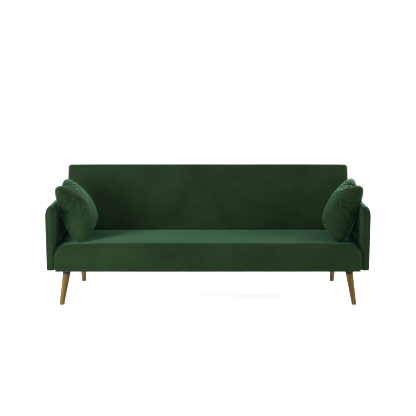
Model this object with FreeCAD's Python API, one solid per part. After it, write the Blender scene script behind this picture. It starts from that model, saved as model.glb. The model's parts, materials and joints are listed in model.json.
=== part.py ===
# Three-seat click-clack sofa bed: velvet seat and backrest on a timber frame, thin panel arms,
# four splayed legs, a toothed hinge at each end of the backrest and two loose cushions.
import FreeCAD, Part
import math
import os

os.makedirs("parts", exist_ok=True)
V = FreeCAD.Vector

# ---- Driving dimensions, mm. X runs along the sofa, Y to the rear, Z up from the floor. ----
# Depths (Y) are counted from the seat's front face. Export moves the origin under the middle.
SOFA_WIDTH = 2036.0        # over both arms
ARM_THICK = 53.0
ARM_TOP = 628.0
ARM_SETBACK = 24.0         # arm front behind the seat front
ARM_REAR = 640.0
UNDERSIDE = 221.0          # floor to the underside of seat and arms
SEAT_TOP = 395.0
SEAT_DEPTH = 512.0
SKIN = 3.0                 # cover with its batting
SIDE_GAP = 2.0             # seat or backrest end to arm
LEAN = 18.0                # backrest from vertical, degrees
BACK_FRONT = 60.0          # pivot to the backrest's front face, and pivot below the seat top
BACK_REAR = 70.0           # pivot to the backrest's rear face
BACK_UP = 495.0            # pivot to the backrest's top edge
BACK_DOWN = 40.0           # pivot to the backrest's bottom face
HEEL_GAP = 7.0             # seat rear face to the backrest
TIMBER = 25.0              # frame board thickness
CUSHION = 400.0            # corner to corner
LEG_TOP_R = 26.0
LEG_FOOT_R = 16.0
FRONT_LEG_TOP = V(893, 72, UNDERSIDE)
FRONT_LEG_FOOT = V(928, 42, 0)
REAR_LEG_TOP = V(869, 595, UNDERSIDE)
REAR_LEG_FOOT = V(869, 640, 0)

# ---- Sizes that follow from them ----
ARM_IN = SOFA_WIDTH / 2 - ARM_THICK
BODY_X = ARM_IN - SIDE_GAP             # end face of the seat and backrest covers
CORE_X = BODY_X - SKIN                 # end face of the padding inside them
LEAN_SIN = math.sin(math.radians(LEAN))
LEAN_COS = math.cos(math.radians(LEAN))
PIVOT_Z = SEAT_TOP - BACK_FRONT
PIVOT_Y = SEAT_DEPTH + HEEL_GAP + 41.0
BACK_TOP_R = 25.0
BACK_REAR_R = 12.0
DEPTH = PIVOT_Y + (BACK_REAR - BACK_REAR_R) * LEAN_COS + (BACK_UP - BACK_REAR_R) * LEAN_SIN + BACK_REAR_R

RAIL_BOTTOM = UNDERSIDE + 2.0          # the dust cover lies under the rails
RAIL_TOP = 296.0
SILL_TOP = 256.0                       # the low rails run under the backrest
SILL_REAR = 628.0
SEAT_RAIL_X = 936.0                    # outer face of the seat's end rails
BACK_RAIL_X = 930.0                    # outer face of the backrest's end rails
PLATE = 4.0                            # hinge plate thickness
PIN_R = 6.0
PAWL_PIN_R = 3.0
RUN = 0.05                             # radial running clearance on a pin
FIT = 0.3                              # clearance round a fastener
NOTCH_UP = 42.0                        # backrest corners are cut back this far above the pivot
BOARD_IN = 900.0                       # drilling near the sofa's ends starts this far out,
BOARD_OUT = 1000.0                     # and ends here
PIVOT = V(0, PIVOT_Y, PIVOT_Z)


# ---- Helpers ----
def box(x0, x1, y0, y1, z0, z1):
    return Part.makeBox(x1 - x0, y1 - y0, z1 - z0, V(x0, y0, z0))


def outline(corners, place):
    """Closed wire through (a, b, radius) corners, each rounded by a tangent arc."""
    edges, ends = [], []
    count = len(corners)
    for i, (a, b, radius) in enumerate(corners):
        tip = V(a, b, 0)
        before = V(*corners[i - 1][:2], 0) - tip
        after = V(*corners[(i + 1) % count][:2], 0) - tip
        before.normalize()
        after.normalize()
        half = before.getAngle(after) / 2
        reach = radius / math.tan(half)
        middle = before + after
        middle.normalize()
        inner = tip + middle * (radius / math.sin(half) - radius)
        ends.append((tip + before * reach, inner, tip + after * reach, radius))
    for i, (start, inner, end, radius) in enumerate(ends):
        if radius > 0:
            edges.append(Part.Arc(place(start), place(inner), place(end)).toShape())
        following = ends[(i + 1) % count][0]
        if (following - end).Length > 1e-6:
            edges.append(Part.LineSegment(place(end), place(following)).toShape())
    return Part.Wire(edges)


def prism_x(corners, x0, x1):
    """Pushes a (Y, Z) outline along X."""
    wire = outline(corners, lambda p: V(x0, p.x, p.y))
    return Part.Face(wire).extrude(V(x1 - x0, 0, 0))


def prism_y(corners, y0, y1):
    """Pushes an (X, Z) outline along Y."""
    wire = outline(corners, lambda p: V(p.x, y0, p.y))
    return Part.Face(wire).extrude(V(0, y1 - y0, 0))


def rod(start, end, radius, end_radius=None):
    """Round bar from one point to another, tapered when it has two radii."""
    run = end - start
    if end_radius is None:
        return Part.makeCylinder(radius, run.Length, start, run)
    return Part.makeCone(radius, end_radius, run.Length, start, run)


def across(x0, x1, y, z, radius):
    """Round bar along X."""
    return rod(V(x0, y, z), V(x1, y, z), radius)


def both_sides(solids):
    """The right-hand solids with their mirror images, in one group."""
    flipped = [solid.mirror(V(0, 0, 0), V(1, 0, 0)) for solid in solids]
    return Part.makeCompound(list(solids) + flipped)


def drill(solid, cutters):
    """Cuts the cutters that reach a solid out of it."""
    for cutter in cutters:
        if solid.BoundBox.intersect(cutter.BoundBox):
            solid = solid.cut(cutter)
    return solid


def lean_back(solid):
    """Takes a solid from the backrest's own upright frame, pivot at its origin, to its place."""
    leaned = solid.copy()
    leaned.rotate(V(0, 0, 0), V(1, 0, 0), -LEAN)
    leaned.translate(PIVOT)
    return leaned


def save(node, shape):
    """Writes one node with the origin moved under the middle of the sofa."""
    placed = shape.copy()
    placed.translate(V(0, -DEPTH / 2, 0))
    placed.exportStep("parts/" + node + ".step")


def save_sides(node, shape):
    """Writes a right-hand shape and its mirror image as two nodes."""
    save(node + "_right", shape)
    save(node + "_left", shape.mirror(V(0, 0, 0), V(1, 0, 0)))


# ---- Fastener positions ----
ARM_BOLTS = [(140.0, 262.0), (330.0, 262.0), (566.0, 236.0)]
SEAT_PLATE_BOLTS = [(408.0, 262.0), (440.0, 262.0), (472.0, 262.0)]
BACK_PLATE_BOLTS = [(38.0, 90.0), (38.0, 125.0), (38.0, 160.0)]
PAWL_PIN_Y = PIVOT_Y - 33.0
PAWL_PIN_Z = PIVOT_Z - 45.0
BOLT_R = 4.0
BOLT_HEAD_R = 7.0
BOLT_HEAD = 5.0                        # height of a hinge bolt's head
BOLT_START = 905.0                     # inner tip of the bolts' heads along X
PLATE_HOLE_END = 946.0                 # bolt holes for the hinge plates end inside the padding
SCREW_R = 2.5
SCREW_SPREAD = 24.0
SCREW_HEAD = 2.0
SCREW_DEPTH = 18.0

arm_bolt_holes = both_sides(
    [across(BOARD_IN, BOARD_OUT + 2, y, z, BOLT_R + FIT) for y, z in ARM_BOLTS]).Solids
seat_plate_holes = both_sides(
    [across(BOARD_IN, PLATE_HOLE_END, y, z, BOLT_R + FIT) for y, z in SEAT_PLATE_BOLTS]).Solids


# ---- Legs, their plates, bolts and glides ----
LEG_PLATE = 64.0
PLATE_THICK = 3.0
BOSS_DROP = 24.0
GLIDE = 3.0
HANGER_LOW, HANGER_HIGH = 150.0, 216.0   # heights of the hanger bolt's ends


def along_leg(top, foot, z):
    """Point of the leg's axis at height z."""
    return foot + (top - foot) * (z / top.z)


def leg_radius(z):
    return LEG_FOOT_R + (LEG_TOP_R - LEG_FOOT_R) * z / UNDERSIDE


def leg_set(top, foot):
    """Leg, plate with boss, hanger bolt, screws and glide of the right-hand leg at one corner."""
    slab_low, slab_high = UNDERSIDE - BOSS_DROP, UNDERSIDE - PLATE_THICK
    bolt = rod(along_leg(top, foot, HANGER_LOW), along_leg(top, foot, HANGER_HIGH), BOLT_R)
    bolt_hole = rod(along_leg(top, foot, HANGER_LOW - 1), along_leg(top, foot, HANGER_HIGH + 1), BOLT_R + FIT)
    below, above = -12, UNDERSIDE + 40
    whole = rod(
        along_leg(top, foot, below), along_leg(top, foot, above), leg_radius(below), leg_radius(above))
    reach = SOFA_WIDTH
    leg = whole.common(box(0, reach, -reach, reach, GLIDE, slab_low)).cut(bolt_hole)
    boss = whole.common(box(0, reach, -reach, reach, slab_low, slab_high + 0.5))
    half = LEG_PLATE / 2
    plate = box(top.x - half, top.x + half, top.y - half, top.y + half, slab_high, UNDERSIDE)
    spots = [(top.x + i * SCREW_SPREAD, top.y + j * SCREW_SPREAD) for i in (-1, 1) for j in (-1, 1)]
    screws, holes = [], []
    for x, y in spots:
        under_head, hole_end = slab_high - SCREW_HEAD, UNDERSIDE + SCREW_DEPTH + 2
        head = rod(V(x, y, under_head), V(x, y, slab_high), SCREW_R * 2)
        shank = rod(V(x, y, slab_high), V(x, y, UNDERSIDE + SCREW_DEPTH), SCREW_R)
        screws.append(head.fuse(shank))
        holes.append(rod(V(x, y, under_head), V(x, y, hole_end), SCREW_R + FIT))
    boss = drill(boss, [rod(V(x, y, slab_low), V(x, y, slab_high), SCREW_R * 2 + FIT) for x, y in spots])
    plate = drill(plate.fuse(boss).cut(bolt_hole), holes)
    foot_centre = along_leg(top, foot, 0)
    glide = rod(V(foot_centre.x, foot_centre.y, 0), V(foot_centre.x, foot_centre.y, GLIDE), LEG_FOOT_R - 2)
    return leg, plate, bolt, screws, holes, glide


front_leg = leg_set(FRONT_LEG_TOP, FRONT_LEG_FOOT)
rear_leg = leg_set(REAR_LEG_TOP, REAR_LEG_FOOT)
for corner, parts in (("front", front_leg), ("rear", rear_leg)):
    save_sides("leg_" + corner, parts[0])
    save_sides("leg_plate_" + corner, parts[1])
save("leg_hanger_bolts", both_sides([front_leg[2], rear_leg[2]]))
save("leg_plate_screws", both_sides(front_leg[3] + rear_leg[3]))
save("leg_glides", both_sides([front_leg[5], rear_leg[5]]))
screw_holes = both_sides(front_leg[4] + rear_leg[4]).Solids


# ---- Seat frame ----
INNER_X = SEAT_RAIL_X - TIMBER
RAIL_FRONT = 25.0
RAIL_REAR = SEAT_DEPTH - SKIN
SILL_FRONT = SILL_REAR - 50.0
CORNER_BLOCK = 76.0
CORNER_BLOCK_DEPTH = 62.0
BEAM_X = (-460.0, 0.0, 460.0)
SPACER_FRONT = 545.0

front_rail = box(-INNER_X, INNER_X, RAIL_FRONT, RAIL_FRONT + TIMBER, RAIL_BOTTOM, RAIL_TOP)
rear_rail = box(-INNER_X, INNER_X, RAIL_REAR - TIMBER, RAIL_REAR, SILL_TOP, RAIL_TOP)
sill_rail = box(-INNER_X, INNER_X, SILL_FRONT, SILL_REAR, RAIL_BOTTOM, SILL_TOP)
end_profile = [
    (RAIL_FRONT, RAIL_BOTTOM, 0), (SILL_REAR, RAIL_BOTTOM, 0), (SILL_REAR, SILL_TOP, 0),
    (RAIL_REAR, SILL_TOP, 0), (RAIL_REAR, RAIL_TOP, 0), (RAIL_FRONT, RAIL_TOP, 0),
]
end_rail = prism_x(end_profile, INNER_X, SEAT_RAIL_X)
end_rail = drill(end_rail, arm_bolt_holes + seat_plate_holes + screw_holes)
corner_block = box(
    INNER_X - CORNER_BLOCK, INNER_X, RAIL_FRONT + TIMBER, RAIL_FRONT + TIMBER + CORNER_BLOCK_DEPTH,
    RAIL_BOTTOM, SILL_TOP)
cross_beams = [
    box(x - TIMBER / 2, x + TIMBER / 2, RAIL_FRONT + TIMBER, SILL_FRONT, RAIL_BOTTOM, SILL_TOP)
    for x in BEAM_X
]
arm_spacer = box(SEAT_RAIL_X + PLATE, BODY_X, SPACER_FRONT, SILL_REAR, RAIL_BOTTOM, SILL_TOP)
arm_spacer = drill(arm_spacer, arm_bolt_holes)

save("seat_front_rail", drill(front_rail, screw_holes))
save("seat_rear_rail", rear_rail)
save("base_rear_rail", drill(sill_rail, screw_holes))
save_sides("seat_end_rail", end_rail)
save("base_cross_beams", Part.makeCompound(cross_beams))
save("seat_corner_blocks", both_sides([drill(corner_block, screw_holes)]))
save("arm_spacers", both_sides([arm_spacer]))


# ---- Sinuous springs and their clips ----
WIRE_R = 1.9
LOOP_R = 14.0
LOOP_LINK = 24.0
SPRING_LOOPS = 15
SPRING_X = [-780, -520, -260, 0, 260, 520, 780]
CLIP = 18.0
CLIP_HIGH = 4.5
SPRING_Z = RAIL_TOP + WIRE_R + 0.2
SPRING_START = RAIL_FRONT + TIMBER + (RAIL_REAR - RAIL_FRONT - 2 * TIMBER - 2 * LOOP_R * SPRING_LOOPS) / 2


def sinuous_spring(x):
    """One zigzag spring: semicircles joined by short cross links, with a tail at each end."""
    edges = []
    side = 1
    y = SPRING_START
    at = V(x, RAIL_FRONT + TIMBER, SPRING_Z)
    start = V(x, y, SPRING_Z)
    if (start - at).Length > 0.01:
        edges.append(Part.LineSegment(at, start).toShape())
    profile = Part.Wire(Part.Circle(at, V(0, 1, 0), WIRE_R).toShape())
    at = start
    quarter = LOOP_R * math.sqrt(0.5)
    turn = V(x + side * LOOP_R, y + LOOP_R, SPRING_Z)
    middle = V(x + side * (LOOP_R - quarter), y + quarter, SPRING_Z)
    edges.append(Part.Arc(at, middle, turn).toShape())
    at = turn
    for loop in range(SPRING_LOOPS - 1):
        reach = V(x + side * (LOOP_R + LOOP_LINK / 2), at.y, SPRING_Z)
        edges.append(Part.LineSegment(at, reach).toShape())
        turn = reach + V(0, 2 * LOOP_R, 0)
        middle = reach + V(side * LOOP_R, LOOP_R, 0)
        edges.append(Part.Arc(reach, middle, turn).toShape())
        side = -side
        at = V(x + side * LOOP_R, turn.y, SPRING_Z)
        edges.append(Part.LineSegment(turn, at).toShape())
    end = V(x, at.y + LOOP_R, SPRING_Z)
    middle = V(x + side * (LOOP_R - quarter), end.y - quarter, SPRING_Z)
    edges.append(Part.Arc(at, middle, end).toShape())
    tail = V(x, RAIL_REAR - TIMBER, SPRING_Z)
    edges.append(Part.LineSegment(end, tail).toShape())
    return Part.Wire(edges).makePipeShell([profile], True, True)


springs = [sinuous_spring(x) for x in SPRING_X]
clips = []
for x in SPRING_X:
    for y in (RAIL_FRONT + TIMBER - CLIP, RAIL_REAR - TIMBER):
        clips.append(box(x - CLIP / 2, x + CLIP / 2, y, y + CLIP, RAIL_TOP, RAIL_TOP + CLIP_HIGH))
save("seat_springs", Part.makeCompound(springs))
save("spring_clips", Part.makeCompound(clips))


# ---- Seat padding, cover and dust cover ----
FOAM_BOTTOM = RAIL_TOP + CLIP_HIGH + 1.0
SEAT_REAR_R = 38.0
SEAT_FRONT_R = 34.0
SEAT_END_R = 28.0


def seat_block(inset):
    """The seat's soft outline, pulled in by an inset, round at its top edges."""
    low = UNDERSIDE - (10 if inset else 0)
    top, end = SEAT_TOP - inset, BODY_X - inset
    side = prism_x([(inset, low, 0), (SEAT_DEPTH - inset, low, 0),
                    (SEAT_DEPTH - inset, top, SEAT_REAR_R - inset), (inset, top, SEAT_FRONT_R - inset)],
                   -end, end)
    front = prism_y([(-end, low, 0), (end, low, 0), (end, top, SEAT_END_R - inset),
                     (-end, top, SEAT_END_R - inset)], -10, SEAT_DEPTH + 10)
    return side.common(front)


seat_core = seat_block(SKIN)
plate_slots = both_sides([box(SEAT_RAIL_X, SEAT_RAIL_X + PLATE + 9, 380, 520, 226, 300)]).Solids
sill_opening = box(-CORE_X, CORE_X, SEAT_DEPTH - 8, SEAT_DEPTH + 8, UNDERSIDE - 20, SILL_TOP)
seat_cover = drill(seat_block(0).cut(seat_core), arm_bolt_holes + plate_slots + [sill_opening])
seat_foam = seat_core.common(box(-BODY_X, BODY_X, 0, SEAT_DEPTH, FOAM_BOTTOM, SEAT_TOP))
front_pad = box(-CORE_X, CORE_X, SKIN, RAIL_FRONT, RAIL_BOTTOM, FOAM_BOTTOM)
end_pad = box(SEAT_RAIL_X, CORE_X, RAIL_FRONT, RAIL_REAR, RAIL_BOTTOM, FOAM_BOTTOM)
end_pad = drill(end_pad, arm_bolt_holes + plate_slots)
dust_cover = box(-CORE_X, CORE_X, SKIN, SILL_REAR, UNDERSIDE, RAIL_BOTTOM)
dust_cover = drill(dust_cover, screw_holes)
rear_skirt = box(-BODY_X, BODY_X, SILL_REAR, SILL_REAR + SKIN, UNDERSIDE, SILL_TOP + SKIN)

save("seat_cover", seat_cover)
save("seat_foam", seat_foam)
save("seat_front_padding", front_pad)
save("seat_end_padding", both_sides([end_pad]))
save("dust_cover", dust_cover)
save("rear_skirt", rear_skirt)


# ---- Arms: board, foam sleeve and cover ----
BOARD_INSET = 15.5
ARM_CORNER_R = 36.0
ARM_EDGE_R = 10.0


def arm_block(inset, drop):
    """The arm's rounded panel outline, pulled in by an inset; drop reaches below the underside."""
    x0, x1 = ARM_IN + inset, ARM_IN + ARM_THICK - inset
    y0, y1, top, low = ARM_SETBACK + inset, ARM_REAR - inset, ARM_TOP - inset, UNDERSIDE - drop
    side = prism_x([(y0, low, 0), (y1, low, 0), (y1, top, ARM_CORNER_R - inset),
                    (y0, top, ARM_CORNER_R - inset)], x0, x1)
    edge = max(ARM_EDGE_R - inset, 1)
    front = prism_y([(x0, low, 0), (x1, low, 0), (x1, top, edge), (x0, top, edge)], 0, ARM_REAR + 10)
    return side.common(front)


arm_outer = arm_block(0, 0)
arm_inner = arm_block(SKIN, 5)
arm_board = arm_block(BOARD_INSET, 0)
arm_foam = arm_inner.common(box(0, SOFA_WIDTH, 0, ARM_REAR, UNDERSIDE, ARM_TOP)).cut(arm_board)
save_sides("arm_cover", drill(arm_outer.cut(arm_inner), arm_bolt_holes))
save_sides("arm_foam", drill(arm_foam, arm_bolt_holes))
save_sides("arm_board", drill(arm_board, arm_bolt_holes))
arm_bolts = [
    across(BOLT_START, INNER_X, y, z, BOLT_HEAD_R).fuse(across(INNER_X, BOARD_OUT, y, z, BOLT_R))
    for y, z in ARM_BOLTS
]
save("arm_bolts", both_sides(arm_bolts))


# ---- Backrest, drawn upright with the pivot at the origin ----
BACK_FRAME_FRONT = 15.0
BACK_FRAME_REAR = BACK_REAR - SKIN
BACK_END_R = 22.0          # roundness of the backrest's upper end corners
FRAME_LOW = 4.0 - BACK_DOWN
FRAME_TOP = BACK_UP - 13.0
WEBBING_X = (-750.0, -600.0, -300.0, -150.0, 150.0, 300.0, 600.0, 750.0)
WEBBING = 60.0
WEBBING_THICK = 1.6
UPRIGHT_X = (-450.0, 0.0, 450.0)


def back_section(inset, rear_open):
    """Section of the backrest: slanted heel beside the seat, rounded top, in (Y, Z)."""
    front, top, low = inset - BACK_FRONT, BACK_UP - inset, inset - BACK_DOWN
    rear = BACK_REAR + rear_open
    plane = SEAT_DEPTH + HEEL_GAP + inset - PIVOT_Y
    heel_top = (plane - front * LEAN_COS) / LEAN_SIN
    heel_low = (plane - low * LEAN_SIN) / LEAN_COS
    return [(front, top, BACK_TOP_R - inset), (rear, top, 0 if rear_open else BACK_REAR_R),
            (rear, low, 0 if rear_open else 6), (heel_low, low, 30 - inset), (front, heel_top, 60)]


def back_block(inset, rear_open=0):
    end, top, low = BODY_X - inset, BACK_UP - inset, inset - BACK_DOWN
    side = prism_x(back_section(inset, rear_open), -end, end)
    face = prism_y([(-end, low, 0), (end, low, 0), (end, top, BACK_END_R - inset),
                    (-end, top, BACK_END_R - inset)], -BACK_FRONT - 5, BACK_REAR + rear_open + 5)
    return side.common(face)


notches = both_sides([box(BACK_RAIL_X, BOARD_OUT, -90, 90, -90, NOTCH_UP)]).Solids
back_plate_holes = both_sides(
    [across(BOARD_IN, PLATE_HOLE_END, y, z, BOLT_R + FIT) for y, z in BACK_PLATE_BOLTS]).Solids

back_outer = back_block(0)
back_core = back_block(SKIN, 20)
back_cover = drill(back_outer.cut(back_core), notches)
back_foam = drill(
    back_core.common(box(-BODY_X, BODY_X, -BACK_FRONT, BACK_FRAME_FRONT - 2, -BACK_DOWN, BACK_UP)), notches)
edge_pad = back_core.common(
    box(BACK_RAIL_X + PLATE + 5, CORE_X, BACK_FRAME_FRONT - 2, BACK_FRAME_REAR, NOTCH_UP, FRAME_TOP))
rear_panel = back_outer.common(back_core).common(
    box(-CORE_X, CORE_X, BACK_FRAME_REAR, BACK_REAR, -BACK_DOWN, BACK_UP))

inner_end = BACK_RAIL_X - TIMBER
post = box(inner_end, BACK_RAIL_X, BACK_FRAME_FRONT, BACK_FRAME_REAR, FRAME_LOW, FRAME_TOP)
back_rails = {
    "back_top_rail": (FRAME_TOP - TIMBER, FRAME_TOP),
    "back_bottom_rail": (FRAME_LOW, FRAME_LOW + TIMBER),
}
uprights = [
    box(x - TIMBER / 2, x + TIMBER / 2, BACK_FRAME_FRONT, BACK_FRAME_REAR,
        FRAME_LOW + TIMBER, FRAME_TOP - TIMBER)
    for x in UPRIGHT_X
]
webbing = [
    box(x - WEBBING / 2, x + WEBBING / 2, BACK_FRAME_FRONT - WEBBING_THICK, BACK_FRAME_FRONT,
        FRAME_LOW + 4, FRAME_TOP - 4)
    for x in WEBBING_X
]
save("back_cover", lean_back(back_cover))
save("back_foam", lean_back(back_foam))
save("back_edge_padding", lean_back(both_sides([edge_pad])))
save("back_rear_panel", lean_back(drill(rear_panel, notches)))
save_sides("back_end_post", lean_back(drill(post, back_plate_holes)))
save("back_uprights", lean_back(Part.makeCompound(uprights)))
save("back_webbing", lean_back(Part.makeCompound(webbing)))
for node, (low, high) in back_rails.items():
    save(node, lean_back(box(-inner_end, inner_end, BACK_FRAME_FRONT, BACK_FRAME_REAR, low, high)))


# ---- Click-clack hinges ----
HEAD_R = 26.0
TOOTH_R = 29.0
TOOTH_ANGLES = [-58, -82, -106, -130, -154]
PIN_HEAD_R = 10.0
PIN_HEAD = 4.0
PAWL_PIN_HEAD_R = 6.0
PAWL_PIN_HEAD = 3.0
PAWL_EYE_R = 8.0
WASHER_R = 12.0
END_PLAY = 0.3             # gap along a pin beside a moving part
SEAT_PLATE_X = SEAT_RAIL_X
BACK_PLATE_X = BACK_RAIL_X


def seat_plate():
    """Flat plate on the seat's end rail that rises to the pivot."""
    front, low, high, neck = 392, 244, 284, HEAD_R - 2
    body = prism_x([(front, low, 6), (PIVOT_Y + 4, low, 20), (PIVOT_Y + HEAD_R, high, 20),
                    (PIVOT_Y + neck, PIVOT_Z, 0), (PIVOT_Y - neck, PIVOT_Z, 0), (SEAT_DEPTH + 2, high, 12),
                    (front, high, 6)], SEAT_PLATE_X, SEAT_PLATE_X + PLATE)
    body = body.fuse(across(SEAT_PLATE_X, SEAT_PLATE_X + PLATE, PIVOT_Y, PIVOT_Z, HEAD_R))
    body = body.cut(across(BOARD_IN, BOARD_OUT, PIVOT_Y, PIVOT_Z, PIN_R))
    body = body.cut(across(BOARD_IN, BOARD_OUT, PAWL_PIN_Y, PAWL_PIN_Z, PAWL_PIN_R))
    return drill(body, seat_plate_holes)


def back_plate():
    """Flat plate on the backrest's end post with a toothed head round the pivot."""
    arm = prism_x([(14, 0, 0), (24, 0, 0), (58, 62, 10), (58, 186, 8), (16, 186, 8), (16, 30, 4)],
                  BACK_PLATE_X, BACK_PLATE_X + PLATE)
    head = across(BACK_PLATE_X, BACK_PLATE_X + PLATE, 0, 0, HEAD_R)
    for angle in TOOTH_ANGLES:
        tooth = prism_x([(HEAD_R - 3, -6, 0), (TOOTH_R, 0, 1), (HEAD_R - 3, 4, 0)],
                        BACK_PLATE_X, BACK_PLATE_X + PLATE)
        tooth.rotate(V(0, 0, 0), V(1, 0, 0), angle)
        head = head.fuse(tooth)
    plate = arm.fuse(head).cut(across(BOARD_IN, BOARD_OUT, 0, 0, PIN_R + RUN))
    return drill(plate, back_plate_holes)


def pawl():
    """Small lever that drops between the teeth; drawn just clear of them."""
    tip_z = PIVOT_Z - TOOTH_R - 1.5
    inner, outer = BACK_PLATE_X + END_PLAY, BACK_PLATE_X + PLATE - END_PLAY
    body = prism_x([(PAWL_PIN_Y - 1, PAWL_PIN_Z - 7, 0), (PIVOT_Y - 4, tip_z - 9, 3), (PIVOT_Y, tip_z, 1),
                    (PIVOT_Y - 7, tip_z - 1.5, 3), (PAWL_PIN_Y, PAWL_PIN_Z + 7, 0)], inner, outer)
    eye = across(inner, outer, PAWL_PIN_Y, PAWL_PIN_Z, PAWL_EYE_R)
    return body.fuse(eye).cut(across(BOARD_IN, BOARD_OUT, PAWL_PIN_Y, PAWL_PIN_Z, PAWL_PIN_R + RUN))


outer_face = SEAT_PLATE_X + PLATE
pin = across(BACK_PLATE_X + END_PLAY, outer_face, PIVOT_Y, PIVOT_Z, PIN_R)
pin = pin.fuse(across(outer_face, outer_face + PIN_HEAD, PIVOT_Y, PIVOT_Z, PIN_HEAD_R))
pawl_pin = across(BACK_PLATE_X + END_PLAY, outer_face, PAWL_PIN_Y, PAWL_PIN_Z, PAWL_PIN_R)
pawl_pin = pawl_pin.fuse(
    across(outer_face, outer_face + PAWL_PIN_HEAD, PAWL_PIN_Y, PAWL_PIN_Z, PAWL_PIN_HEAD_R))
washer = across(BACK_PLATE_X + PLATE + END_PLAY, SEAT_PLATE_X - END_PLAY, PIVOT_Y, PIVOT_Z, WASHER_R)
washer = washer.cut(across(BOARD_IN, BOARD_OUT, PIVOT_Y, PIVOT_Z, PIN_R + RUN))
seat_bolts = [
    across(BOLT_START, INNER_X, y, z, BOLT_HEAD_R).fuse(across(INNER_X, outer_face + 1, y, z, BOLT_R)).fuse(
        across(outer_face, outer_face + BOLT_HEAD, y, z, BOLT_HEAD_R))
    for y, z in SEAT_PLATE_BOLTS
]
back_bolts = [
    across(BACK_PLATE_X + PLATE, BACK_PLATE_X + PLATE + BOLT_HEAD - 1, y, z, BOLT_HEAD_R).fuse(
        across(inner_end, BACK_PLATE_X + PLATE, y, z, BOLT_R))
    for y, z in BACK_PLATE_BOLTS
]

save_sides("hinge_seat_plate", seat_plate())
save_sides("hinge_back_plate", lean_back(back_plate()))
save_sides("hinge_pawl", pawl())
save("hinge_pivot_pins", both_sides([pin]))
save("hinge_washers", both_sides([washer]))
save("pawl_pins", both_sides([pawl_pin]))
save("hinge_seat_bolts", both_sides(seat_bolts))
save("hinge_back_bolts", lean_back(both_sides(back_bolts)))


# ---- Loose cushions ----
CUSHION_WAIST = 0.10       # how far the sides pull in between the corners
CUSHION_SKIN = 2.0
CUSHION_STEPS = 10
CUSHION_Y = 266.0
CUSHION_REST = SEAT_TOP + 1.0
FILLING_INSET = 6.6        # filling's seam inside the cover's seam
FILLING_GAP = 0.4


def pillow(half, bulge_in, bulge_out):
    """Plump square pillow with drawn-in sides; local Z is its thickness."""
    knots = list(range(CUSHION_STEPS - 1))
    mults = [4] + [1] * (CUSHION_STEPS - 3) + [4]
    faces = []
    for bulge in (bulge_in, -bulge_out):
        rows = []
        for i in range(CUSHION_STEPS + 1):
            a = math.pi * (i / CUSHION_STEPS - 0.5)
            row = []
            for j in range(CUSHION_STEPS + 1):
                b = math.pi * (j / CUSHION_STEPS - 0.5)
                across_a, across_b = math.sin(a), math.sin(b)
                crown = max(math.cos(a), 0) * max(math.cos(b), 0)
                x = half * across_a * (1 - CUSHION_WAIST * (1 - across_b ** 2))
                y = half * across_b * (1 - CUSHION_WAIST * (1 - across_a ** 2))
                row.append(V(x, y, bulge * crown ** 1.1))
            rows.append(row)
        surface = Part.BSplineSurface()
        surface.buildFromPolesMultsKnots(rows, mults, mults, knots, knots, False, False, 3, 3)
        faces.append(surface.toShape())
    skin = Part.makeCompound(faces)
    skin.sewShape()
    return Part.makeSolid(skin.Shells[0])


def cushion(lean, centre_x, bulge_in, bulge_out):
    """Cover and filling of a cushion that leans on the left arm by an angle."""
    half = CUSHION / 2
    outer = pillow(half, bulge_in, bulge_out)
    inner = pillow(half - FILLING_INSET + 0.6, bulge_in - CUSHION_SKIN, bulge_out - CUSHION_SKIN)
    inside = CUSHION_SKIN + FILLING_GAP
    filling = pillow(half - FILLING_INSET, bulge_in - inside, bulge_out - inside)
    angle = math.radians(lean)
    up = V(-math.sin(angle), 0, math.cos(angle))
    turn = FreeCAD.Rotation(V(0, 1, 0), up, V(math.cos(angle), 0, math.sin(angle)), "XYZ")
    placed = []
    for shape in (outer.cut(inner), filling):
        moved = shape.copy()
        moved.Placement = FreeCAD.Placement(V(centre_x, CUSHION_Y, SEAT_TOP + half), turn)
        placed.append(moved)
    lift = CUSHION_REST - placed[0].optimalBoundingBox().ZMin
    for shape in placed:
        shape.translate(V(0, 0, lift))
    return placed


left_cover, left_filling = cushion(lean=25.0, centre_x=-868.0, bulge_in=112.0, bulge_out=70.0)
right_cover, right_filling = cushion(lean=23.0, centre_x=-889.0, bulge_in=112.0, bulge_out=50.0)
save("cushion_cover_left", left_cover)
save("cushion_filling_left", left_filling)
save("cushion_cover_right", right_cover.mirror(V(0, 0, 0), V(1, 0, 0)))
save("cushion_filling_right", right_filling.mirror(V(0, 0, 0), V(1, 0, 0)))
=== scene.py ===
import json
import math

import bmesh
import bpy
import numpy as np
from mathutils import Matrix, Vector, noise


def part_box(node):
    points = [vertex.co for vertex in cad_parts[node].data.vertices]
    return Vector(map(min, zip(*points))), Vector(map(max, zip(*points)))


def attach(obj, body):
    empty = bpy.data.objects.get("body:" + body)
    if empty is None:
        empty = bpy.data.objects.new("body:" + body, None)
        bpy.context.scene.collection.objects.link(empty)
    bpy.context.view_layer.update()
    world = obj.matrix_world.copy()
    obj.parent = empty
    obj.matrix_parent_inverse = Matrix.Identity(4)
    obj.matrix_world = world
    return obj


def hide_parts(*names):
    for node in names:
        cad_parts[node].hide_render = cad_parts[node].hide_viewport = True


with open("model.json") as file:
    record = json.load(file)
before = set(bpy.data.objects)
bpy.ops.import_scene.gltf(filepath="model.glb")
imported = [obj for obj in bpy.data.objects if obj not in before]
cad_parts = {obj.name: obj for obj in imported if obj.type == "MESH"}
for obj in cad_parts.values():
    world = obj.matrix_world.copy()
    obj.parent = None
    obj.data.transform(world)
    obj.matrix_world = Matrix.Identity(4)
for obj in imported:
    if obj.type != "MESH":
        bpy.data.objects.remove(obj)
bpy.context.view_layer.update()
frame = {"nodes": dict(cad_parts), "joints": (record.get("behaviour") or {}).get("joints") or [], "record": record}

# ---- Sizes, metres, in the frame's own axes: X along the sofa, Y to the rear, Z up ----
LEAN = math.radians(18.0)
BACK_FRONT, BACK_REAR, BACK_UP, BACK_DOWN = 0.060, 0.070, 0.495, 0.040
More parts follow.
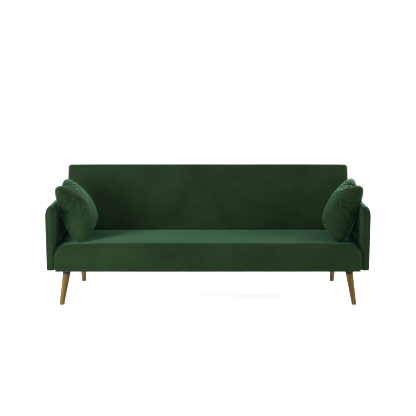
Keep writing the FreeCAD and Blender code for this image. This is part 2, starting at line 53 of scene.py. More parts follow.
HEEL_SLANT_LOW, HEEL_SLANT_TOP = -0.0301, 0.0454
SEAM_HEIGHT = 0.027            # hem seam above the underside
ARM_SEAM = 0.017               # arm seam in from the outer face
STEP = 0.009                   # spacing of the upholstery mesh
CORNER_STEPS = 24              # pieces that a rounded corner is first drawn in
FINE_STEP = 0.0005             # spacing used to find a seam on an outline
SEAM_OFFSETS = (-.007, -.004, -.002, 0, .002, .004, .007)   # extra points beside a seam
SEAM_CLEAR = 0.010             # no evenly spaced point is nearer to a seam than this
SEAM_WIDTH = 0.0026

seat_lo, seat_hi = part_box("seat_cover")
arm_lo, arm_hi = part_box("arm_cover_right")
back_lo, back_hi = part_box("back_cover")
recline = next(j for j in frame["joints"] if j["name"] == "backrest_recline")
PIVOT = Vector(recline["pos_m"])


# ---- Material helpers ----
class Graph:
    """A material's node tree with short calls for what repeats."""

    def __init__(self, name):
        self.material = bpy.data.materials.new(name)
        self.material.use_nodes = True
        self.tree = self.material.node_tree
        self.shader = self.tree.nodes["Principled BSDF"]
        self.place = self.tree.nodes.new("ShaderNodeTexCoord").outputs["Object"]

    def link(self, source, target):
        self.tree.links.new(source, target)

    def scaled(self, scale):
        """The object's coordinates stretched by a scale on each axis."""
        node = self.tree.nodes.new("ShaderNodeMapping")
        node.inputs["Scale"].default_value = scale
        self.link(self.place, node.inputs["Vector"])
        return node.outputs["Vector"]

    def noise(self, scale, detail=3.0, rough=0.5, distort=0.0, stretch=None):
        node = self.tree.nodes.new("ShaderNodeTexNoise")
        node.inputs["Scale"].default_value = scale
        node.inputs["Detail"].default_value = detail
        node.inputs["Roughness"].default_value = rough
        node.inputs["Distortion"].default_value = distort
        self.link(self.scaled(stretch) if stretch else self.place, node.inputs["Vector"])
        return node.outputs["Fac"]

    def ramp(self, source, stops):
        """Colour ramp through (position, colour) stops."""
        node = self.tree.nodes.new("ShaderNodeValToRGB")
        elements = node.color_ramp.elements
        while len(elements) < len(stops):
            elements.new(0.5)
        for element, (position, colour) in zip(elements, stops):
            element.position = position
            element.color = (*colour, 1.0)
        self.link(source, node.inputs["Fac"])
        return node.outputs["Color"]

    def mix(self, factor, first, second, blend="MIX"):
        node = self.tree.nodes.new("ShaderNodeMix")
        node.data_type = "RGBA"
        node.blend_type = blend
        for socket, value in ((node.inputs[0], factor), (node.inputs[6], first), (node.inputs[7], second)):
            if isinstance(value, bpy.types.NodeSocket):
                self.link(value, socket)
            else:
                socket.default_value = value if isinstance(value, float) else (*value, 1.0)
        return node.outputs[2]

    def bump(self, source, strength, distance, under=None):
        node = self.tree.nodes.new("ShaderNodeBump")
        node.inputs["Strength"].default_value = strength
        node.inputs["Distance"].default_value = distance
        self.link(source, node.inputs["Height"])
        if under is not None:
            self.link(under, node.inputs["Normal"])
        return node.outputs["Normal"]

    def set(self, **values):
        """Sets sockets of the shader; underscores stand for spaces."""
        for name, value in values.items():
            socket = self.shader.inputs[name.replace("_", " ")]
            if isinstance(value, bpy.types.NodeSocket):
                self.link(value, socket)
            else:
                socket.default_value = value
        return self.material


def velvet(name, dark, light, sheen, tint):
    """Short-pile velvet: brushed patches, fine pile speckle and a soft sheen."""
    g = Graph(name)
    patches = g.noise(2.6, 4.0, 0.55, 0.8)
    strokes = g.noise(9.0, 3.0, 0.6, 0.4, (1.0, 1.0, 2.2))
    pile = g.noise(1400.0, 2.0, 0.6)
    base = g.ramp(patches, [(0.30, dark), (0.72, light)])
    brushed = g.ramp(strokes, [(0.28, (0.80, 0.80, 0.80)), (0.75, (1.0, 1.0, 1.0))])
    speckle = g.ramp(pile, [(0.35, (0.72, 0.74, 0.72)), (0.65, (1.0, 1.0, 1.0))])
    colour = g.mix(1.0, g.mix(1.0, base, brushed, "MULTIPLY"), speckle, "MULTIPLY")
    nap = g.bump(pile, 0.25, 0.0006, g.bump(strokes, 0.12, 0.004))
    rough = g.ramp(patches, [(0.3, (0.82, 0.82, 0.82)), (0.7, (0.68, 0.68, 0.68))])
    return g.set(
        Base_Color=colour, Roughness=rough, Normal=nap, Sheen_Weight=sheen, Sheen_Roughness=0.32,
        Sheen_Tint=(*tint, 1.0), Specular_IOR_Level=0.03)


def wood(name, dark, mid, light, stretch, rough):
    """Wood with long grain streaks, pores and soft growth bands."""
    g = Graph(name)
    streaks = g.noise(1.0, 6.0, 0.62, 0.7, stretch)
    pores = g.noise(4.0, 3.0, 0.5, 0.0, tuple(v * 2.2 for v in stretch))
    bands = g.noise(0.35, 2.0, 0.5, 1.6, stretch)
    colour = g.ramp(streaks, [(0.25, dark), (0.48, mid), (0.75, light)])
    shade = g.ramp(bands, [(0.3, (0.62, 0.58, 0.52)), (0.7, (1.0, 1.0, 1.0))])
    dots = g.ramp(pores, [(0.32, (0.45, 0.38, 0.30)), (0.46, (1.0, 1.0, 1.0))])
    colour = g.mix(0.8, g.mix(1.0, colour, shade, "MULTIPLY"), dots, "MULTIPLY")
    return g.set(
        Base_Color=colour, Roughness=rough, Normal=g.bump(pores, 0.25, 0.0004), Specular_IOR_Level=0.12)


def cloth(name, dark, light, scale, rough):
    """Plain woven or felted lining with a small thread pattern."""
    g = Graph(name)
    threads = g.noise(scale, 2.0, 0.5, 0.0, (1.0, 1.0, 3.0))
    wear = g.noise(6.0, 4.0)
    colour = g.mix(g.noise(scale * 0.4), dark, light)
    colour = g.mix(0.5, colour, g.ramp(wear, [(0.3, dark), (0.7, light)]))
    return g.set(Base_Color=colour, Roughness=rough, Normal=g.bump(threads, 0.35, 0.0008))


def metal(name, dark, light, metallic, rough, shine=0.5):
    """Plated or powder-coated steel with handling marks."""
    g = Graph(name)
    marks = g.noise(35.0, 5.0, 0.6)
    grit = g.noise(900.0, 2.0)
    smooth = g.ramp(marks, [(0.3, (rough * 0.75,) * 3), (0.7, (min(rough * 1.3, 1.0),) * 3)])
    return g.set(
        Base_Color=g.ramp(marks, [(0.3, dark), (0.7, light)]), Roughness=smooth, Metallic=metallic,
        Normal=g.bump(grit, 0.15, 0.0002), Specular_IOR_Level=shine)


def foam(name, dark, light):
    g = Graph(name)
    cells = g.noise(420.0, 3.0, 0.7)
    return g.set(
        Base_Color=g.ramp(cells, [(0.35, dark), (0.6, light)]), Roughness=0.95,
        Normal=g.bump(cells, 0.6, 0.0012))


GREEN_DARK, GREEN_LIGHT = (0.0062, 0.0142, 0.0053), (0.0098, 0.0222, 0.0083)
GREEN_SHEEN = (0.36, 1.00, 0.57)
PLANK_GRAIN = (2.5, 40, 40)    # streaks run along X
LEG_GRAIN = (55, 55, 4)        # streaks run along Z
sofa_velvet = velvet("sofa_velvet", GREEN_DARK, GREEN_LIGHT, 0.11, GREEN_SHEEN)
cushion_velvet = velvet("cushion_velvet", GREEN_DARK, GREEN_LIGHT, 0.20, GREEN_SHEEN)

FINISHES = {
    "velvet": sofa_velvet,
    "cushion_velvet": cushion_velvet,
    "fibre_fill": cloth("fibre_fill", (0.70, 0.70, 0.68), (0.86, 0.86, 0.84), 300.0, 0.95),
    "foam": foam("cut_foam", (0.55, 0.50, 0.34), (0.80, 0.74, 0.55)),
    "lining": cloth("black_lining", (0.012, 0.012, 0.012), (0.030, 0.030, 0.030), 700.0, 0.92),
    "webbing": cloth("elastic_webbing", (0.09, 0.08, 0.06), (0.22, 0.19, 0.15), 500.0, 0.85),
    "frame_timber": wood(
        "frame_timber", (0.36, 0.22, 0.10), (0.55, 0.37, 0.19), (0.68, 0.50, 0.29), PLANK_GRAIN, 0.7),
    "leg_wood": wood(
        "leg_wood", (0.029, 0.013, 0.001), (0.075, 0.040, 0.003), (0.118, 0.070, 0.007), LEG_GRAIN, 0.42),
    "leg_plate_paint": metal(
        "leg_plate_paint", (0.006, 0.008, 0.005), (0.012, 0.015, 0.010), 0.0, 0.7, 0.08),
    "glide_plastic": metal("glide_plastic", (0.020, 0.020, 0.020), (0.040, 0.040, 0.040), 0.0, 0.7),
    "hinge_steel": metal("hinge_steel", (0.012, 0.012, 0.013), (0.030, 0.030, 0.033), 0.3, 0.55, 0.3),
    "zinc_steel": metal("zinc_steel", (0.50, 0.50, 0.50), (0.68, 0.68, 0.70), 1.0, 0.35),
    "spring_steel": metal("spring_steel", (0.22, 0.22, 0.23), (0.38, 0.38, 0.40), 1.0, 0.4),
}
for subpart in frame["record"]["subparts"]:
    mesh = frame["nodes"][subpart["node"]].data
    mesh.materials.clear()
    mesh.materials.append(FINISHES[subpart["material_slot"]])

# The timber that shows beside the hinges and under the arms gets a near-black colour: painted shade for these deep
# gaps, and also the black of the lining that wraps this timber in the real sofa.
painted_shade_timber = wood(
    "painted_shade_timber", (0.008, 0.007, 0.006), (0.014, 0.012, 0.010), (0.022, 0.018, 0.014), PLANK_GRAIN, 0.8)
for node in ("arm_spacers", "arm_board_left", "arm_board_right", "seat_end_rail_left", "seat_end_rail_right",
             "base_rear_rail", "back_end_post_left", "back_end_post_right", "back_bottom_rail", "back_top_rail"):
    frame["nodes"][node].data.materials[0] = painted_shade_timber


# ---- Mesh helpers ----
def make_object(name, points, faces, material):
    mesh = bpy.data.meshes.new(name)
    mesh.from_pydata([tuple(p) for p in points], [], faces)
    mesh.materials.append(material)
    mesh.polygons.foreach_set("use_smooth", [True] * len(mesh.polygons))
    piece = bpy.data.objects.new(name, mesh)
    bpy.context.scene.collection.objects.link(piece)
    return piece


def subdivide(piece, levels=1):
    modifier = piece.modifiers.new("smooth", "SUBSURF")
    modifier.levels = modifier.render_levels = levels


def bump_on(values, centre, width):
    """Bell curve round a centre."""
    return np.exp(-(((values - centre) / width) ** 2))


def outline(corners, seams=()):
    """Points round (a, b, radius) corners: evenly spaced, and closer together beside each seam."""
    dense = []
    for i, (a, b, radius) in enumerate(corners):
        tip = np.array([a, b], float)
        before = np.array(corners[i - 1][:2], float) - tip
        after = np.array(corners[(i + 1) % len(corners)][:2], float) - tip
        before /= np.linalg.norm(before)
        after /= np.linalg.norm(after)
        half = math.acos(np.clip(before @ after, -1, 1)) / 2
        middle = (before + after) / np.linalg.norm(before + after)
        centre = tip + middle * radius / math.sin(half)
        start = tip + before * radius / math.tan(half)
        end = tip + after * radius / math.tan(half)
        first = math.atan2(*(start - centre)[::-1])
        turn = (math.atan2(*(end - centre)[::-1]) - first + math.pi) % (2 * math.pi) - math.pi
        for k in range(CORNER_STEPS + 1):
            angle = first + turn * k / CORNER_STEPS
            dense.append(centre + radius * np.array([math.cos(angle), math.sin(angle)]))
    dense = np.array(dense + dense[:1])
    run = np.r_[0, np.cumsum(np.linalg.norm(np.diff(dense, axis=0), axis=1))]
    keep = np.r_[True, np.diff(run) > 1e-7]
    dense, run = dense[keep], run[keep]
    total = run[-1]
    count = int(round(total / STEP))
    even = np.arange(count) * total / count
    fine = np.arange(0, total, FINE_STEP)
    line = np.c_[np.interp(fine, run, dense[:, 0]), np.interp(fine, run, dense[:, 1])]
    places = [fine[np.argmin(np.linalg.norm(line - np.array(seam), axis=1))] for seam in seams]
    near = [(place + offset) % total for place in places for offset in SEAM_OFFSETS]
    for place in places:
        gap = np.abs((even - place + total / 2) % total - total / 2)
        even = even[gap > SEAM_CLEAR]
    spots = np.sort(np.r_[even, near])
    points = np.c_[np.interp(spots, run, dense[:, 0]), np.interp(spots, run, dense[:, 1])]
    return points, spots, places, total


def slab(name, corners, seams, half, edge, spine, place, relief, cap_rings, puff, material, rings=()):
    """Upholstered slab: a rounded outline pushed along its length, with round ends and soft caps.

    half is half the length, edge the end rounding, spine the (a, b) ends of the line that the caps
    close on, place maps (t, a, b) to the row frame, relief(t, a, b, s) pushes the skin outward, and
    rings are extra positions along the length."""
    points, spots, places, total = outline(corners, seams)
    count = len(points)
    tangent = np.roll(points, -1, 0) - np.roll(points, 1, 0)
    normal = np.c_[tangent[:, 1], -tangent[:, 0]]
    normal /= np.linalg.norm(normal, axis=1)[:, None]
    middle = points.mean(0)
    if ((points - middle) * normal).sum() < 0:
        normal = -normal
    straight = np.linspace(-(half - edge), half - edge, max(int(2 * (half - edge) / (STEP * 1.4)), 2))
    straight = np.unique(np.r_[straight, [r for r in rings if abs(r) < half - edge]])
    turns = np.linspace(0, math.pi / 2, 7)[1:]
    right = [(half - edge + edge * math.sin(a), edge - edge * math.cos(a)) for a in turns]
    stations = [(-t, inset) for t, inset in reversed(right)] + [(t, 0.0) for t in straight] + right
    layers = []
    for t, inset in stations:
        outward = relief(np.full(count, t), points[:, 0], points[:, 1], spots, places, total)
        ring = points + normal * (outward - inset)[:, None]
        layers.append(np.c_[np.full(count, t), ring])
    line_a, line_b = np.array(spine[0], float), np.array(spine[1], float)

    def cap(ring, sign):
        flat = ring[:, 1:]
        along = np.clip(((flat - line_a) @ (line_b - line_a)) / ((line_b - line_a) @ (line_b - line_a)), 0, 1)
        target = line_a + along[:, None] * (line_b - line_a)
        made = []
        for k in range(1, cap_rings + 1):
            share = k / cap_rings
            swell = puff * (1 - (1 - share) ** 2)
            inner = flat + (target - flat) * min(share, 0.995)
            made.append(np.c_[ring[:, 0] + sign * swell, inner])
        return made

    layers = cap(layers[0], -1)[::-1] + layers + cap(layers[-1], 1)
    rows = len(layers)
    flat = np.concatenate(layers)
    world = np.array([place(*p) for p in flat])
    faces = []
    for i in range(rows - 1):
        for j in range(count):
            k = (j + 1) % count
            faces.append((i * count + j, i * count + k, (i + 1) * count + k, (i + 1) * count + j))
    faces.append(tuple(range(count))[::-1])
    faces.append(tuple((rows - 1) * count + j for j in range(count)))
    piece = make_object(name, world, faces, material)
    fix_normals(piece)
    return piece


def fix_normals(piece):
    """Joins doubled points, splits the closing faces and turns every face outward."""
    work = bmesh.new()
    work.from_mesh(piece.data)
    bmesh.ops.remove_doubles(work, verts=work.verts, dist=0.0004)
    closing = [face for face in work.faces if len(face.verts) > 4]
    bmesh.ops.triangulate(work, faces=closing, ngon_method="BEAUTY")
    bmesh.ops.recalc_face_normals(work, faces=work.faces)
    work.to_mesh(piece.data)
    work.free()
    piece.data.polygons.foreach_set("use_smooth", [True] * len(piece.data.polygons))


def unevenness(t, a, b, scale, shift):
    """Slow noise over the skin, for upholstery that isn't perfectly even."""
    return np.array([
        noise.noise(Vector((u * scale[0], v * scale[1], w * scale[2] + shift))) for u, v, w in zip(t, a, b)])


def press_seams(out, s, places, total, depth):
    """Presses a seam's groove into the skin at each place round the outline."""
    for place in places:
        gap = np.abs((s - place + total / 2) % total - total / 2)
        out -= depth * bump_on(gap, 0, SEAM_WIDTH)


# ---- Seat ----
SEAT_CROWN, SEAT_BELLY = 0.006, 0.003   # swell of the top and of the front
SEAT_FACE = 0.17               # height of the front face that bellies


def seat_relief(t, y, z, s, places, total):
    """Crowned top, faintly bellied front and a stitched hem seam near the bottom edge."""
    along = 1 - (t / seat_hi.x) ** 4
    depth = np.clip((y - seat_lo.y) / (seat_hi.y - seat_lo.y), 0, 1)
    top = (z > seat_hi.z - 0.010) * np.sin(math.pi * depth) ** 0.7
    out = SEAT_CROWN * along * top
    front = (y < seat_lo.y + 0.012) * np.sin(math.pi * np.clip((z - seat_lo.z) / SEAT_FACE, 0, 1))
    out += SEAT_BELLY * front * along
    press_seams(out, s, places, total, 0.0030)
    out += 0.0012 * unevenness(t, y, z, (3.1, 6.0, 6.0), 0)
    return out


SEAT_END_ROUND = 0.070         # how far in the top starts to fall towards an end
SEAT_DROOP = 0.012             # how much lower the top is at the ends than in the middle
SEAT_FALL_START = 0.05         # height above the underside where the fall sets in
SEAT_HEM = seat_lo.z + 0.0025  # the cover's lower edge, just above the dust cover
seat_middle = (seat_lo.z + seat_hi.z) / 2


def seat_place(t, y, z):
    """Lets the top of the seat fall away towards the arms, less and less towards the rear."""
    fall_height = seat_hi.z - seat_lo.z - SEAT_FALL_START
    share = min(max((z - seat_lo.z - SEAT_FALL_START) / fall_height, 0.0), 1.0) ** 1.5
    to_rear = min(max((y - seat_lo.y) / (seat_hi.y - seat_lo.y) - 0.25, 0.0) / 0.6, 1.0)
    share *= 1 - 0.88 * to_rear * to_rear * (3 - 2 * to_rear)
    past = min(max(abs(t) - (seat_hi.x - SEAT_END_ROUND), 0.0) / SEAT_END_ROUND, 1.0)
    fall = SEAT_END_ROUND * 0.8 * (1 - math.sqrt(1 - past * past)) + SEAT_DROOP * abs(t / seat_hi.x) ** 5
    return t, y, z - fall * share


seat = slab(
    "seat_upholstery",
    [(seat_lo.y, SEAT_HEM, 0.008), (seat_hi.y, SEAT_HEM, 0.008), (seat_hi.y, seat_hi.z, 0.038),
     (seat_lo.y, seat_hi.z, 0.060)],
    [(seat_lo.y, seat_lo.z + SEAM_HEIGHT), (seat_hi.y, seat_lo.z + SEAM_HEIGHT)],
    seat_hi.x, 0.012,
    ((seat_lo.y + 0.085, seat_middle), (seat_hi.y - 0.085, seat_middle)),
    seat_place, seat_relief, 10, 0.0, sofa_velvet)
subdivide(seat)
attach(seat, "seat")
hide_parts("seat_cover", "seat_foam", "seat_front_padding", "seat_end_padding")


# ---- Black lining stretched over the low rear rail, under the backrest ----
LINING_RISE = 0.0006           # above the rail, below the backrest's path
LINING_SAG = 0.004
LINING_SAG_SPAN = 0.46         # between the points across the sofa where it doesn't sag
LINING_LAP = 0.020             # how far it reaches past the end rails' inner faces
LINING_ACROSS, LINING_DEEP = 120, 14


def rear_lining():
    low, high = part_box("base_rear_rail")
    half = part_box("seat_end_rail_right")[0].x + LINING_LAP
    front, rear = seat_hi.y + 0.002, high.y
    points, faces = [], []
    for i in range(LINING_ACROSS + 1):
        for j in range(LINING_DEEP + 1):
            x = half * (2 * i / LINING_ACROSS - 1)
            y = front + (rear - front) * j / LINING_DEEP
            over = min(max((low.y - y) / (low.y - front), 0.0), 1.0)
            sag = LINING_SAG * math.sin(math.pi * over) * abs(math.sin(math.pi * x / LINING_SAG_SPAN)) ** 0.7
            points.append((x, y, high.z + LINING_RISE - sag))
    for i in range(LINING_ACROSS):
        for j in range(LINING_DEEP):
            k = i * (LINING_DEEP + 1) + j
            faces.append((k, k + LINING_DEEP + 1, k + LINING_DEEP + 2, k + 1))
    piece = make_object("rear_lining", points, faces, FINISHES["lining"])
    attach(piece, "seat")


rear_lining()


# ---- Backrest, drawn upright round the pivot and leaned back ----
NOTCH_X, NOTCH_TOP = 0.926, 0.036   # the lower end corners are cut away round the hinges


def lean_back(t, a, b):
    """Places a point of the upright backrest, t along, a to the rear and b up from the pivot."""
    if b < NOTCH_TOP:
        t = max(-NOTCH_X, min(NOTCH_X, t))
    return (
        t,
        PIVOT.y + a * math.cos(LEAN) + b * math.sin(LEAN),
        PIVOT.z - a * math.sin(LEAN) + b * math.cos(LEAN),
    )


def back_relief(t, y, z, s, places, total):
    """Slightly crowned face, swollen top edge and two seams."""
    along = 1 - (t / seat_hi.x) ** 6
    face = (y < -BACK_FRONT + 0.010) * np.sin(math.pi * np.clip((z + 0.02) / (BACK_UP + 0.02), 0, 1)) ** 0.6
    out = 0.004 * along * face
    out += 0.0025 * along * (z > BACK_UP - 0.006)
    out += 0.0020 * (y > BACK_REAR - 0.012) * (z > 0.02)
    press_seams(out, s, places, total, 0.0026)
    out += 0.0010 * unevenness(t, y, z, (2.7, 6.0, 5.0), 9)
    return out


back = slab(
    "back_upholstery",
    [(-BACK_FRONT, BACK_UP, 0.024), (BACK_REAR, BACK_UP, 0.014), (BACK_REAR, -BACK_DOWN, 0.008),
     (HEEL_SLANT_LOW, -BACK_DOWN, 0.030), (-BACK_FRONT, HEEL_SLANT_TOP, 0.060)],
    [(-BACK_FRONT + 0.004, BACK_UP - 0.014), (BACK_REAR, BACK_UP - 0.03)],
    seat_hi.x - 0.001, 0.020,
    ((0.005, 0.03), (0.005, BACK_UP - 0.065)),
    lean_back, back_relief, 8, 0.0, sofa_velvet)
subdivide(back)
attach(back, "backrest")
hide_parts("back_cover", "back_foam", "back_edge_padding", "back_rear_panel")


# ---- Arms ----
ARM_MIDDLE = (arm_lo.x + arm_hi.x) / 2
ARM_HALF = (arm_hi.x - arm_lo.x) / 2
ARM_INNER_SEAM = 0.010         # seam in from the inner face
ARM_SEAM_WIDTH = 0.0022
ARM_OUTER_ROUND, ARM_INNER_ROUND = 0.036, 0.016
ARM_FALL = 0.12                # height over which the top edges round off


def arm_relief(t, y, z, s, places, total):
    """A seam near each face, and a slight swell between them."""
    out = -0.0024 * bump_on(t, ARM_HALF - ARM_SEAM, ARM_SEAM_WIDTH)
    out -= 0.0018 * bump_on(t, -(ARM_HALF - ARM_INNER_SEAM), ARM_SEAM_WIDTH)
    out += 0.0012 * (1 - (t / ARM_HALF) ** 2)
    out += 0.0008 * unevenness(t, y, z, (5, 5.0, 5.0), 3)
    return out


def arm_place(t, y, z):
    """Rounds the arm's top edges, the outer one more."""
    share = min(max((z - arm_hi.z + ARM_FALL) / ARM_FALL, 0.0), 1.0) ** 2
    fall = 0.0
    for radius, gap in ((ARM_OUTER_ROUND, ARM_HALF - t), (ARM_INNER_ROUND, ARM_HALF + t)):
        past = min(max(1 - gap / radius, 0.0), 1.0)
        fall += 0.9 * radius * (1 - math.sqrt(1 - past * past))
    return t, y, z - fall * share


for side, sign in (("left", -1), ("right", 1)):
    def place_arm(t, y, z, sign=sign):
        t, y, z = arm_place(t, y, z)
        return sign * (ARM_MIDDLE + t), y, z

    arm = slab(
        "arm_upholstery_" + side,
        [(arm_lo.y, arm_lo.z, 0.008), (arm_hi.y, arm_lo.z, 0.008), (arm_hi.y, arm_hi.z, 0.040),
         (arm_lo.y, arm_hi.z, 0.055)],
        [], ARM_HALF, 0.013,
        ((arm_lo.y + 0.20, (arm_lo.z + arm_hi.z) / 2), (arm_hi.y - 0.20, (arm_lo.z + arm_hi.z) / 2)),
        place_arm, arm_relief, 16, 0.0003, sofa_velvet,
        rings=[ARM_HALF - ARM_SEAM + d for d in (-.005, -.003, -.0015, 0, .0015, .003, .005)]
        + [-(ARM_HALF - ARM_INNER_SEAM) + d for d in (-.0015, 0, .0015, .003)])
    subdivide(arm)
    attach(arm, "seat")
    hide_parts("arm_cover_" + side, "arm_foam_" + side)


# ---- Scatter cushions ----
PILLOW_CELLS = 84
PILLOW_FRAMES = 26
PILLOW_CUT = 0.45              # side of the square that each half is cut from
PILLOW_HEIGHT = 0.97           # height for a width of 1
PILLOW_BELLY = 0.20            # how much thicker the foot is than the middle
CORNER_PULL = 0.07             # how far the cut's corners are rounded off
FULLNESS = 0.62                # below 1 the filling reaches further into the seams
PILLOW_SINK = 0.004            # how far the foot is pressed below the seat's highest level
PILLOW_CLEAR = 0.0015          # left between a cushion and the seat
ARM_CLEAR = 0.003              # left between a cushion and an arm
# Each cushion's lean, distance from the middle, bow, and thickness towards the seat and the arm.
PILLOW_SHAPES = {
    "left": (math.radians(25.0), 0.868, 0.020, 0.100, 0.100),
    "right": (math.radians(23.0), 0.889, 0.010, 0.100, 0.086),
}


def flat_pillow(name, size):
    """Two square sheets joined all round, a little apart in the middle."""
    n = PILLOW_CELLS
    points, faces = [], []
    index = {}
    for layer in (1, -1):
        for i in range(n + 1):
            for j in range(n + 1):
                edge = i in (0, n) or j in (0, n)
                if edge and layer < 0:
                    index[layer, i, j] = index[1, i, j]
                    continue
                u, v = i / n * 2 - 1, j / n * 2 - 1
                rise = 0.0 if edge else layer * (0.004 + 0.020 * (1 - u * u) * (1 - v * v))
                rise += 0.0 if edge else 0.0015 * noise.noise(Vector((u * 4, v * 4, layer * 5.0)))
                index[layer, i, j] = len(points)
                reach = size / 2 * (1 - CORNER_PULL * (u * v) ** 4)
                points.append((u * reach, v * reach, rise))
        for i in range(n):
            for j in range(n):
                quad = tuple(index[layer, i + di, j + dj] for di, dj in ((0, 0), (1, 0), (1, 1), (0, 1)))
                faces.append(quad if layer > 0 else quad[::-1])
    return make_object(name, points, faces, cushion_velvet)


def inflate(piece):
    """Fills a flat pillow by cloth simulation, then packs its filling out towards the seams."""
    modifier = piece.modifiers.new("cloth", "CLOTH")
    cloth_settings = modifier.settings
    cloth_settings.quality = 6
    cloth_settings.mass = 0.3
    cloth_settings.tension_stiffness = 18
    cloth_settings.compression_stiffness = 18
    cloth_settings.shear_stiffness = 6
    cloth_settings.bending_stiffness = 0.12
    cloth_settings.use_pressure = True
    cloth_settings.uniform_pressure_force = 7.0
    cloth_settings.effector_weights.gravity = 0
    modifier.point_cache.frame_start = 1
    modifier.point_cache.frame_end = PILLOW_FRAMES
    scene = bpy.context.scene
    for moment in range(1, PILLOW_FRAMES + 1):
        scene.frame_set(moment)
    shaped = piece.evaluated_get(bpy.context.evaluated_depsgraph_get())
    points = np.empty(len(shaped.data.vertices) * 3)
    shaped.data.vertices.foreach_get("co", points)
    piece.modifiers.remove(modifier)
    scene.frame_set(1)
    points = points.reshape(-1, 3)
    share = np.abs(points[:, 2]) / np.abs(points[:, 2]).max()
    points[:, 2] *= np.maximum(share, 1e-4) ** (FULLNESS - 1)
    return points


def seat_surface(x, y):
    """Height of the seat's top skin, for a cushion to rest on."""
    depth = min(max((y - seat_lo.y) / (seat_hi.y - seat_lo.y), 0.0), 1.0)
    fall = seat_place(x, y, seat_hi.z)[2]
    return fall + SEAT_CROWN * math.sin(math.pi * depth) ** 0.7 * (1 - (x / seat_hi.x) ** 4)


RUCHE_LENGTH = 0.017           # spacing of the small gathers along the seams
RUCHE_REACH = 0.085            # how far the gathers run in from a seam


def ruches(points, width):
    """Short gathers that run in from the seams, deepest near the front edge."""
    half = width / 2
    for spot in points:
        a, b, c = spot
        gap = half * 0.93 - max(abs(a), abs(b))
        along = b if abs(a) > abs(b) else a
        near = max(0.0, 1 - abs(gap) / RUCHE_REACH) ** 1.3
        sway = noise.noise(Vector((along * 14, gap * 9, c * 3 + 4)))
        wave = math.sin(2 * math.pi * (along + 0.012 * sway) / RUCHE_LENGTH + 5 * gap / RUCHE_REACH)
        patch = max(0.0, 0.55 + 1.1 * noise.noise(Vector((along * 11, gap * 5, 7.0))))
        depth = 0.0042 if a < 0 else 0.0020
        crumple = 0.0022 * noise.noise(Vector((a * 38, b * 62, c * 20))) * near
        fold = depth * wave * patch * near + (crumple if a < -0.03 else 0.35 * crumple)
        axis = 0 if abs(a) > abs(b) else 1
        spot[axis] += math.copysign(fold, spot[axis]) * (1 if fold > 0 else -1)
        spot[2] += math.copysign(0.5, c) * fold * min(abs(c) / 0.012, 1.0)


def cushion(side, sign):
    """One cushion in its CAD place: filled, gathered, leaned on its arm and pressed on the seat."""
    piece = flat_pillow("cushion_" + side, PILLOW_CUT)
    points = inflate(piece)
    low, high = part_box("cushion_cover_" + side)
    lean, across, bow, inward, outward = PILLOW_SHAPES[side]
    width = high.y - low.y
    points[:, :2] *= width / (points[:, 1].max() - points[:, 1].min())
    thick = points[:, 2].max()
    points[:, 1] *= PILLOW_HEIGHT
    rise = points[:, 1] / (width / 2)
    belly = 1 + PILLOW_BELLY * np.clip(-rise, -1, 1)
    points[:, 2] *= np.where(points[:, 2] > 0, inward, outward) / thick * belly
    ruches(points, width)
    points[:, 2] += bow * (1 - rise ** 2)
    up = Vector((-math.sin(lean), 0, math.cos(lean)))
    inner = Vector((math.cos(lean), 0, math.sin(lean)))
    centre = Vector((-across, (low.y + high.y) / 2, seat_hi.z + 0.2))
    world = np.array([centre + Vector((0, 1, 0)) * a + up * b + inner * c for a, b, c in points])
    world[:, 2] += seat_hi.z - PILLOW_SINK - world[:, 2].min()
    wall = -(arm_lo.x - ARM_CLEAR)
    behind = (world[:, 2] < arm_hi.z + 0.01) & (world[:, 0] < wall)
    world[behind, 0] = wall
    under = np.array([seat_surface(abs(x), y) for x, y in world[:, :2]]) + PILLOW_CLEAR
    world[:, 2] = np.maximum(world[:, 2], under)
    world[:, 0] *= -sign
    piece.data.vertices.foreach_set("co", world.ravel())
    piece.data.update()
    fix_normals(piece)
    subdivide(piece)
    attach(piece, "cushion_" + side)
    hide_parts("cushion_cover_" + side, "cushion_filling_" + side)


cushion("left", -1)
cushion("right", 1)


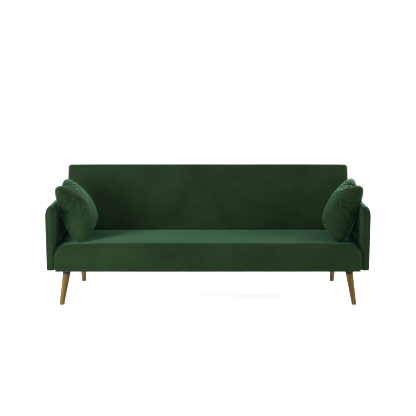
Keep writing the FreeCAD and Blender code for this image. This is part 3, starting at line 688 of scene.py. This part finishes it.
# ---- Floor, light and camera ----
floor_graph = Graph("studio_floor")
floor_material = floor_graph.set(
    Base_Color=floor_graph.ramp(
        floor_graph.noise(1.5), [(0.3, (0.70, 0.70, 0.70)), (0.7, (0.72, 0.72, 0.72))]),
    Roughness=1.0, Emission_Color=(1.0, 1.0, 1.0, 1.0), Emission_Strength=0.46, Specular_IOR_Level=0.0)
FLOOR_HALF, FLOOR_FRONT, FLOOR_REAR = 60, -20, 200
floor = make_object(
    "floor",
    [(-FLOOR_HALF, FLOOR_FRONT, 0), (FLOOR_HALF, FLOOR_FRONT, 0), (FLOOR_HALF, FLOOR_REAR, 0),
     (-FLOOR_HALF, FLOOR_REAR, 0)],
    [(0, 1, 2, 3)], floor_material)

scene = bpy.context.scene
scene.view_settings.view_transform = "Standard"
scene.world = bpy.data.worlds.new("studio")
scene.world.use_nodes = True
scene.world.node_tree.nodes["Background"].inputs["Color"].default_value = (1.0, 1.0, 1.0, 1.0)
scene.world.node_tree.nodes["Background"].inputs["Strength"].default_value = 1.0


def area_light(name, place, target, size, power):
    lamp = bpy.data.lights.new(name, "AREA")
    lamp.size = size
    lamp.energy = power
    holder = bpy.data.objects.new(name, lamp)
    holder.location = place
    holder.rotation_euler = (Vector(target) - Vector(place)).to_track_quat("-Z", "Y").to_euler()
    scene.collection.objects.link(holder)


area_light("left_softbox", (-3.4, -2.2, 1.5), (-0.4, 0.0, 0.4), 1.6, 125)
area_light("near_left_softbox", (-2.0, -1.7, 0.8), (-0.95, -0.1, 0.4), 0.8, 70)
area_light("right_softbox", (3.4, -0.8, 1.6), (-0.4, 0.1, 0.5), 1.6, 150)
area_light("high_left_softbox", (-2.4, -0.2, 2.6), (-0.5, 0.3, 0.7), 1.4, 70)
area_light("rear_right_softbox", (2.6, 2.4, 2.2), (0.0, 0.0, 0.3), 1.4, 350)

CAMERA_DISTANCE, CAMERA_HEIGHT = 5.374, 1.554   # in front of the seat's front face, above the floor
CAMERA_PITCH = math.radians(9.77)               # downward
camera_data = bpy.data.cameras.new("camera")
camera_data.sensor_width = 36.0
camera_data.lens = 76.3
camera = bpy.data.objects.new("camera", camera_data)
camera.location = (0.0, seat_lo.y - CAMERA_DISTANCE, CAMERA_HEIGHT)
camera.rotation_euler = (math.pi / 2 - CAMERA_PITCH, 0, 0)
scene.collection.objects.link(camera)
scene.camera = camera

bpy.context.view_layer.update()
